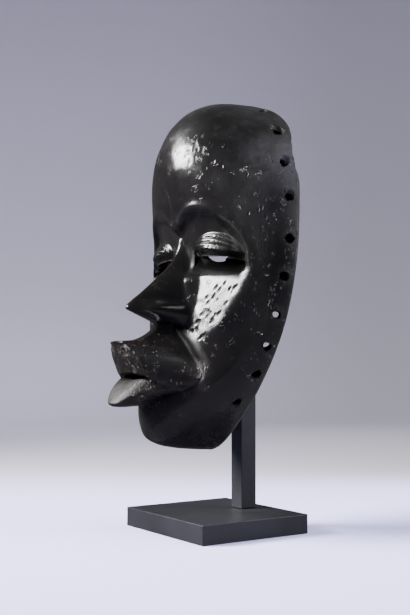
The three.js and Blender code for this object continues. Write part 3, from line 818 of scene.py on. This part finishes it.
def edge_cutter():
    """Broken edge: the outline of the break, roughened, carried across the near wall."""
    up = np.linspace(CHIP[0][0], CHIP[-1][0], 37)
    x, h = np.meshgrid(np.linspace(36, 92, 29), up, indexing="ij")
    top = np.stack([x, np.interp(h, *np.transpose(CHIP)), h], -1)
    top[..., 1] += (waves(31, top, 9) * 0.5 + waves(32, top, 3.5) * 0.25) * (np.abs(h - 204.5) < 18)
    base = top.copy()
    base[..., 1] = -6
    ring = edge_ring(*x.shape)
    skirt = ring_faces(np.stack([ring, ring + x.size]))[:, FLIPPED]
    lower = grid_faces(*x.shape, x.size)[:, ::-1]
    return np.concatenate([top, base]).reshape(-1, 3), [grid_faces(*x.shape), lower, skirt]


def cutters(sizes):
    """Everything that is cut out of the mask: eye slits, lacing holes and the broken edge."""
    random = np.random.default_rng(21)
    parts = []
    for side in (-1, 1):
        parts.append(eye_cutter(side))
        for hole in HOLES:
            parts.append(hole_cutter(hole, side, sizes.hole_radius / MM * random.uniform(0.9, 1.15)))
    parts.append(edge_cutter())
    points, faces = joined([(to_world(shape, sizes), blocks) for shape, blocks in parts])
    return mesh_object("mask_cutters", points, faces)


def cell(across, up):
    """Which cell of the hollow's map each place falls in."""
    return tuple(np.rint(at).astype(int).clip(0, count - 1) for at, count in zip((across, up), CELLS))


def hollow_depth(wall):
    """Map of the hollow's depth: the plain shell, taken wall mm in, at a fine grid of angles."""
    angles = np.linspace(-np.pi / 2, np.pi / 2, 900), np.linspace(0, np.pi / 2, 600)
    x, d, h = shell(*np.meshgrid(*angles), wall)
    cells = np.full(CELLS, OUTSIDE)
    np.maximum.at(cells, cell(x, h), d)
    return cells


def in_holes(points, radius):
    """1 inside a lacing hole, from a millimetre under its mouth: where the hole's walls get painted
    shade.
    """
    shade_in_openings = np.zeros(len(points))
    for mouth, out in (bore(hole, side) for side in (-1, 1) for hole in HOLES):
        away = points - mouth
        along = away @ out / (out @ out)
        off = np.linalg.norm(away - along[:, None] * out, axis=1)
        shade_in_openings = np.maximum(shade_in_openings, (off < radius * 1.35) * step(0.2, -1.0, along) * (along > -15))
    return shade_in_openings


def note_surface(piece, sizes):
    """Keeps on the points, from 0 to 1, how handled, worn, pitted, coarse or inside each place is, how
    much dust and painted rim highlight it has, and where painted shade goes."""
    mesh = piece.data
    points = to_mask(read_vectors(mesh, "co"), sizes)
    x, d, h = points.T
    ax = np.abs(x)

    # The hollow with the rim's back, and the painted shade inside holes and slits and just under each
    # slit
    back = read_vectors(mesh, "normal")[:, 1]
    skin = hollow_depth(sizes.wall / MM)[cell(ax, h)]
    hollow = np.where(skin > OUTSIDE + 4, step(3.6, 1.6, d - skin), 0.0)
    hollow = np.maximum(hollow, step(1.5, 0.4, d) * step(0.3, 0.9, back) * 0.8)
    below = slit_height(ax) - h
    opening = 1.25 * np.sqrt(np.clip(1 - ((ax - EYE_MIDDLE) / 21.5) ** 2, 0, 1))
    slit = step(-1.2, 0.2, below) * step(9.5, 6.0, below) * np.minimum(opening, 1) * (d > 15)
    shade_in_openings = np.maximum(in_holes(points, sizes.hole_radius / MM), slit)

    # Forms that the wear follows
    reach = hermite(LIP_REACH, h)
    lip = ((h > 20) & (h < 70) & (d > 66)) * 1.0
    muzzle = step(50, 62, d) * step(22, 30, h) * (1 - step(74, 80, h))
    fold = bell(ax, reach + 0.6, 3) * (h > 38) * (h < 78) * (d > 34)
    fold_end = bell(ax, 33, 6) * bell(h, 53, 9) * (d > 20)
    facet = bell(ax, 41, 10) * bell(h, 98, 17)
    mouths = np.array([bore(hole, side)[0] for hole in HOLES for side in (-1, 1)])
    rims = step(9, 3.5, np.linalg.norm(points[:, None] - mouths, axis=2).min(1))

    # Polish, worn edges and dust, and a painted highlight along the rim's edge
    handled = 1 - step(38, 72, ax) * (0.3 + 0.5 * step(115, 190, h))
    handled *= 1 - step(196, 240, h) * 0.55
    handled *= 1 - 0.35 * bell(h, 14, 22)
    handled *= 1 - 0.3 * bell(ax, 36, 16) * bell(h, 137, 8) * (d > 25)
    worn = 0.25 * bell(h, hermite(FULLEST, ax) + 2, 4) * (d > 60) * (h < 43) + 0.12 * lip
    worn += 0.15 * bell(ax, 0, 1.4) * (h > 86) * (h < 140) * (d > 48)
    worn = np.maximum(worn + fold * 0.12 + fold_end * 0.25, bell(d, 0, 2.0) * 0.25)
    dust_and_rim_highlight = step(135, 205, h) * step(34, 64, ax) * 0.9 + step(228, 250, h) * 0.5
    dust_and_rim_highlight = np.clip(dust_and_rim_highlight + 0.12 * fold + 0.1 * fold_end + 0.12 * bell(h, 232, 30), 0, 1)
    # A grey line along the rim's edge in the dust colour: a painted highlight standing in for light
    # grazing the rim
    dust_and_rim_highlight = np.maximum(dust_and_rim_highlight, 0.8 * bell(d, 0.6, 1.1))

    # Marks and crumbling
    pitted = 0.06 + 0.18 * step(50, 72, ax) + 0.3 * facet + 0.6 * fold_end + 0.3 * lip
    pitted += bell(ax, 50, 12) * bell(h, 187, 11) + 0.6 * bell(ax, 68, 12) * bell(h, 159, 6)
    pitted += 0.7 * bell(ax, 63, 8) * bell(h, 99, 17) + 0.5 * bell(ax, 18, 10) * bell(h, 206, 9)
    pitted += 0.9 * rims
    coarse = 0.55 * muzzle + 0.45 * lip + 0.9 * fold_end + 0.3 * fold + 0.3 * facet + 0.6 * rims
    coarse += 0.3 * step(50, 72, ax)

    # Painted shade, black and unpolished: outer socket off the lid, shelf under the slit, strip beside
    # the fold, inner corner
    arc = np.sqrt(np.maximum(1 - ((ax - EYE_MIDDLE) / LID_REACH) ** 2, 0.001))
    on_lid = step(1.05, 0.9, -below / (LID_HEIGHT * arc)) * step(-0.5, 0.5, -below)
    socket = step(-1.5, 1, (hermite(BROW, ax) - h) * 0.9) * step(38, 48, ax) * step(-6, -2, -below)
    socket *= (ax < 68) * (h > 112) * (1 - 0.85 * on_lid * step(50, 42, ax))
    shelf = step(-0.5, 1.0, below) * step(15, 9, below) * step(11, 14, ax) * step(58, 54, ax)
    strip = bell(ax, reach + 1.4, 6) * step(54, 62, h) * (1 - step(80, 88, h)) * (d < 48)
    corner = bell(ax, 9, 3.5) * bell(h, 132, 9) * (d < 44)
    shade = 0.9 * socket + shelf + strip + corner

    notes = {"handled": handled, "worn": worn, "dust_and_rim_highlight": dust_and_rim_highlight, "pitted": pitted, "hollow": hollow,
             "shade_in_openings": shade_in_openings, "coarse": coarse, "shade": shade, "pit": pits(x, h) * step(30, 34, d)}
    for name, value in notes.items():
        layer = mesh.attributes.new(name, "FLOAT", "POINT")
        layer.data.foreach_set("value", np.clip(value, 0, 1).astype(np.float32))


class MESH_OT_carved_mask(bpy.types.Operator):
    """Build the carved mask with its slits, lacing holes and broken edge"""

    bl_idname = "mesh.carved_mask"
    bl_label = "Carved mask"

    def execute(self, context):
        sizes = context.scene.mask_sizes
        piece = mask_body(sizes)
        combine(piece, cutters(sizes), "DIFFERENCE")
        if len(piece.data.polygons) < 1000:
            raise RuntimeError("the cuts removed the mask")
        note_surface(piece, sizes)
        finish_mesh(piece, wood_finish(context.scene.wood_finish), 48)
        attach(piece, "root")
        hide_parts("mask")
        return {"FINISHED"}


def block(name, low, high, bevel):
    """A block between two corners: eight points, six faces, and all its edges softened by a Bevel."""
    low, high = np.asarray(low, float), np.asarray(high, float)
    corner = np.array([[i, j, k] for i in (0, 1) for j in (0, 1) for k in (0, 1)], float)
    points = low + corner * (high - low)
    faces = [[0, 1, 3, 2], [4, 6, 7, 5], [0, 4, 5, 1], [2, 3, 7, 6], [0, 2, 6, 4], [1, 5, 7, 3]]
    piece = mesh_object(name, points, outward(points, [np.array(faces)]))
    soften = piece.modifiers.new("edges", "BEVEL")
    soften.width = bevel
    soften.segments = 4
    soften.harden_normals = True
    baked(piece)
    return piece


class MESH_OT_mask_stand(bpy.types.Operator):
    """Build the base plate and the post"""

    bl_idname = "mesh.mask_stand"
    bl_label = "Base plate and post"

    def execute(self, context):
        stand = context.scene.stand_sizes
        paint = paint_finish(stand)
        for name, node in (("stand_base_plate", "base_plate"), ("stand_post", "post")):
            low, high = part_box(node)
            piece = block(name, low, high, stand.bevel)
            piece.data.materials.append(paint)
            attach(piece, "root")
            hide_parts(node)
        return {"FINISHED"}


def pad_seat(angle, sizes):
    """Where a pad meets the hollow on the mid line: the point, and the way the pad faces."""
    phi = np.radians([angle - 1, angle, angle + 1])
    low, place, high = to_world(np.stack(shell(phi, 0 * phi, sizes.wall / MM), -1), sizes)
    facing = np.cross([1.0, 0, 0], high - low)
    facing *= -np.sign(facing[1]) / np.linalg.norm(facing)
    return place - facing * (GAP + PAD_SAG), facing


class MESH_OT_mask_holder(bpy.types.Operator):
    """Build the arms and pads that hold the mask: turned rods with a plate under each felt disc"""

    bl_idname = "mesh.mask_holder"
    bl_label = "Holder arms and pads"

    def execute(self, context):
        stand = context.scene.stand_sizes
        paint = bpy.data.materials["satin_black_paint"]
        felt = felt_finish(stand)
        low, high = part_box("post")
        for name, angle, level in (("crown", 80, high[2] - 0.008), ("mouth", -33, None)):
            middle, facing = pad_seat(angle, context.scene.mask_sizes)
            rear = middle - facing * PAD_THICK
            tip = rear - facing * (GAP + ARM_RADIUS)
            foot = np.array([0, low[1] - GAP, tip[2] if level is None else level])
            lean = (tip - foot) / np.linalg.norm(tip - foot)
            foot = foot + lean * ARM_RADIUS * abs(lean[2]) / abs(lean[1])
            long, thin = np.linalg.norm(tip - foot), ARM_RADIUS - ARM_EDGE
            rod = [(0, thin), (ARM_EDGE, ARM_RADIUS), (long - ARM_EDGE, ARM_RADIUS), (long, thin)]
            arm = mesh_object(f"{name}_holder_arm", *joined([turned(rod, foot, tip - foot)]))
            combine(arm, mesh_object(f"{name}_plate", *joined([turned(PLATE, tip, facing)])), "UNION")
            pad = mesh_object(f"{name}_holder_pad", *joined([turned(PAD, rear, facing)]))
            for piece, node, finish, slot in ((arm, f"{name}_arm", paint, "stand_paint"),
                                              (pad, f"{name}_pad", felt, "felt")):
                finish_mesh(piece, finish, 35)
                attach(piece, "root")
                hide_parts(node)
        return {"FINISHED"}


def soft_box(name, toward, distance, size, power, tint=(1, 1, 1)):
    """An area light at a distance from the target in a direction, facing the target."""
    light = bpy.data.lights.new(name, "AREA")
    light.shape = "RECTANGLE"
    light.size, light.size_y = size
    light.energy = power
    light.color = tint
    lamp = bpy.data.objects.new(name, light)
    toward = np.asarray(toward, float) / np.linalg.norm(toward)
    across = np.cross([0, 0, 1.0], toward)
    across /= np.linalg.norm(across)
    place = np.eye(4)
    place[:3] = np.stack([across, np.cross(toward, across), toward, TARGET + toward * distance], -1)
    lamp.matrix_world = Matrix(place.tolist())
    lamp.visible_camera = False
    bpy.context.scene.collection.objects.link(lamp)
    return lamp


class SCENE_OT_mask_studio(bpy.types.Operator):
    """Lay the floor and backdrop, and set the camera and the lights"""

    bl_idname = "scene.mask_studio"
    bl_label = "Studio"

    def execute(self, context):
        studio = context.scene.studio_sizes
        azimuth = studio.azimuth
        back = np.array([np.sin(azimuth), -np.cos(azimuth), 0.0])
        right = np.array([np.cos(azimuth), np.sin(azimuth), 0.0])

        camera_data = bpy.data.cameras.new("camera")
        camera_data.lens = studio.lens
        camera_data.sensor_width = 36
        camera_data.clip_start = 0.01
        camera = bpy.data.objects.new("camera", camera_data)
        camera.location = back * studio.distance + right * studio.side + np.array([0, 0, studio.eye])
        camera.rotation_euler = (np.pi / 2 + studio.pitch, 0, azimuth)
        context.scene.collection.objects.link(camera)
        context.scene.camera = camera

        # Floor and backdrop: a round sheet, flat under the mask, then curved up to a wall on every side
        s = np.linspace(0.01, 4.2, 85)
        bend, radius = 1.2, 0.8
        angle = np.clip((s - bend) / radius, 0, np.pi / 2)
        reach = np.minimum(s, bend) + radius * np.sin(angle)
        rise = radius * (1 - np.cos(angle)) + np.maximum(s - bend - radius * np.pi / 2, 0)
        around = np.linspace(0, 2 * np.pi, 97)
        ring = np.stack([np.cos(around), np.sin(around), 0 * around], -1)
        points = reach[:, None, None] * ring + rise[:, None, None] * np.array([0, 0, 1.0])
        sheet = mesh_object("studio_paper", points.reshape(-1, 3), [grid_faces(len(s), len(around))])
        sheet.data.materials.append(floor_finish(studio))
        sheet.visible_glossy = False

        world = bpy.data.worlds.new("studio")
        world.use_nodes = True
        background = world.node_tree.nodes["Background"]
        background.inputs["Color"].default_value = (0.84, 0.84, 1.0, 1)
        background.inputs["Strength"].default_value = 0.09
        context.scene.world = world

        key = soft_box("key_box", (-0.44, -0.765, 0.47), 1.3, (0.74, 0.54), 18)
        key.data.shape = "ELLIPSE"
        key.data.spread = np.radians(60)
        top = soft_box("top_box", (0.25, 0.2, 1.0), 1.6, (1.6, 1.6), 30, (0.93, 0.94, 1.0))
        top.visible_glossy = False
        soft_box("side_box", (0.62, 0.5, 0.85), 1.5, (0.8, 0.8), 12.0, COOL)
        soft_box("rim_box", (0.56, 0.83, 0.30), 1.5, (0.9, 0.6), 15.0, COOL)
        soft_box("bounce_card", (0.45, 0.10, -1.0), 0.182, (0.55, 0.55), 0.42)
        return {"FINISHED"}


class VIEW3D_PT_carved_mask(bpy.types.Panel):
    """The mask's pieces and sizes"""

    bl_label = "Carved mask"
    bl_idname = "VIEW3D_PT_carved_mask"
    bl_space_type = "VIEW_3D"
    bl_region_type = "UI"
    bl_category = "Carved mask"

    def draw(self, context):
        for operator in OPERATORS:
            self.layout.operator(operator.bl_idname)
        for name in ("mask_sizes", "wood_finish", "stand_sizes", "studio_sizes"):
            group = getattr(context.scene, name)
            box = self.layout.box()
            for key in group.__annotations__:
                box.prop(group, key)


OPERATORS = (SCENE_OT_mask_studio, MESH_OT_mask_stand, MESH_OT_mask_holder, MESH_OT_carved_mask)
GROUPS = {"mask_sizes": MaskSizes, "wood_finish": WoodFinish, "stand_sizes": StandSizes,
          "studio_sizes": StudioSizes}
CLASSES = (*GROUPS.values(), *OPERATORS, VIEW3D_PT_carved_mask)


def register():
    for item in CLASSES:
        bpy.utils.register_class(item)
    for name, group in GROUPS.items():
        setattr(bpy.types.Scene, name, PointerProperty(type=group))


def unregister():
    for name in GROUPS:
        delattr(bpy.types.Scene, name)
    for item in reversed(CLASSES):
        bpy.utils.unregister_class(item)


def main():
    register()
    bpy.ops.scene.mask_studio()
    bpy.ops.mesh.mask_stand()
    bpy.ops.mesh.mask_holder()
    bpy.ops.mesh.carved_mask()


if __name__ == "__main__":
    main()
